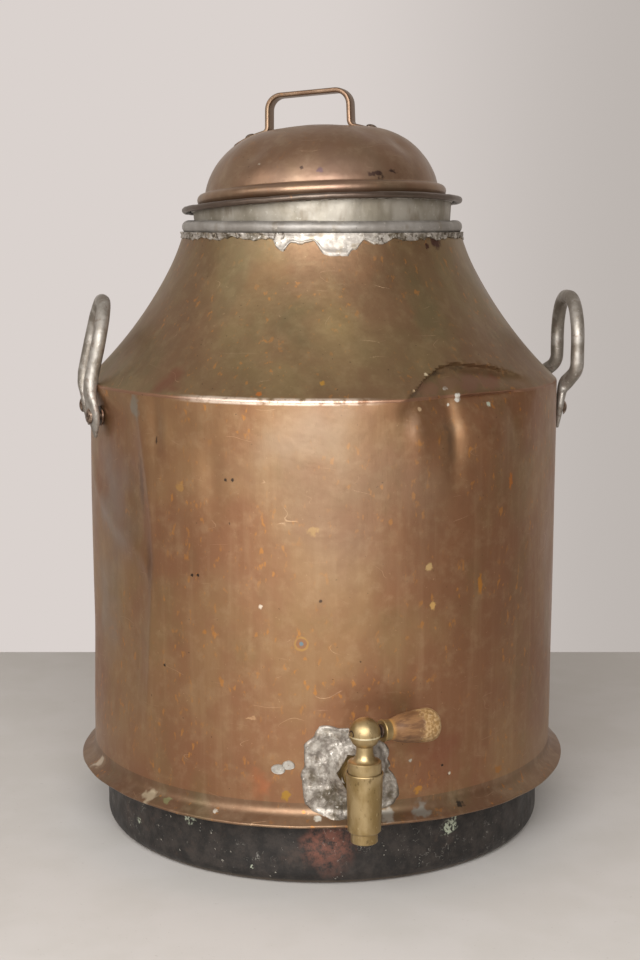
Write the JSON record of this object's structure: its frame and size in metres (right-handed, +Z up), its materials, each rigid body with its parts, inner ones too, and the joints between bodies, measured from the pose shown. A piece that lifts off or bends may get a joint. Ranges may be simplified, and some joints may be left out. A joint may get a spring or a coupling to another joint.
{
  "type": "copper vat",
  "caption": "Round copper range vat with a hollow-sided shoulder, lift-off domed lid, two iron side handles and a brass barrel tap with a wooden lever.",
  "frame": {"origin": "middle of the base, on the surface that the vat stands on", "axes": "+Z up; the tap looks along -Y; the side handles are at -X and +X"},
  "size_m": [0.4649, 0.4897, 0.6595],
  "materials": {
    "copper": "tarnished copper sheet, worn and dented",
    "blackened_copper": "copper blackened by the stove fire",
    "tinned_iron": "dull tinned metal",
    "solder": "tin solder, lumpy",
    "wrought_iron": "forged iron, rubbed bright and brown",
    "copper_rivet": "hammered copper",
    "tap_brass": "cast and turned brass, tarnished",
    "turned_wood": "turned hardwood, worn at the end"
  },
  "bodies": {
    "vat": {"base_pan": "blackened_copper", "base_flange": "copper", "body_shell": "copper", "shoulder_cone": "copper", "neck_ring": "tinned_iron", "neck_solder": "solder", "left_handle": "wrought_iron", "right_handle": "wrought_iron", "left_handle_rivets": "copper_rivet", "right_handle_rivets": "copper_rivet", "left_handle_roves": "copper_rivet", "right_handle_roves": "copper_rivet", "tap_boss": "tap_brass", "tap_body": "tap_brass", "tap_solder": "solder"},
    "lid": {"lid_dome": "copper", "lid_flange": "copper", "lid_rim_wire": "wrought_iron", "lid_skirt": "tinned_iron", "lid_solder": "solder", "lid_handle": "copper", "lid_handle_rivets": "copper_rivet", "lid_handle_roves": "copper_rivet"},
    "tap_key": {"tap_plug": "tap_brass", "tap_rod": "wrought_iron", "tap_ferrule": "tap_brass", "tap_handle": "turned_wood"}
  },
  "joints": [
    {"name": "lid_lift", "type": "slide", "parent": "vat", "child": "lid", "axis": [0, 0, 1], "range_m": [0, 0.15]},
    {"name": "tap_turn", "type": "hinge", "parent": "vat", "child": "tap_key", "pos_m": [0, -0.253, 0.1], "axis": [0, 0, 1], "range_deg": [-237, 12]}
  ]
}
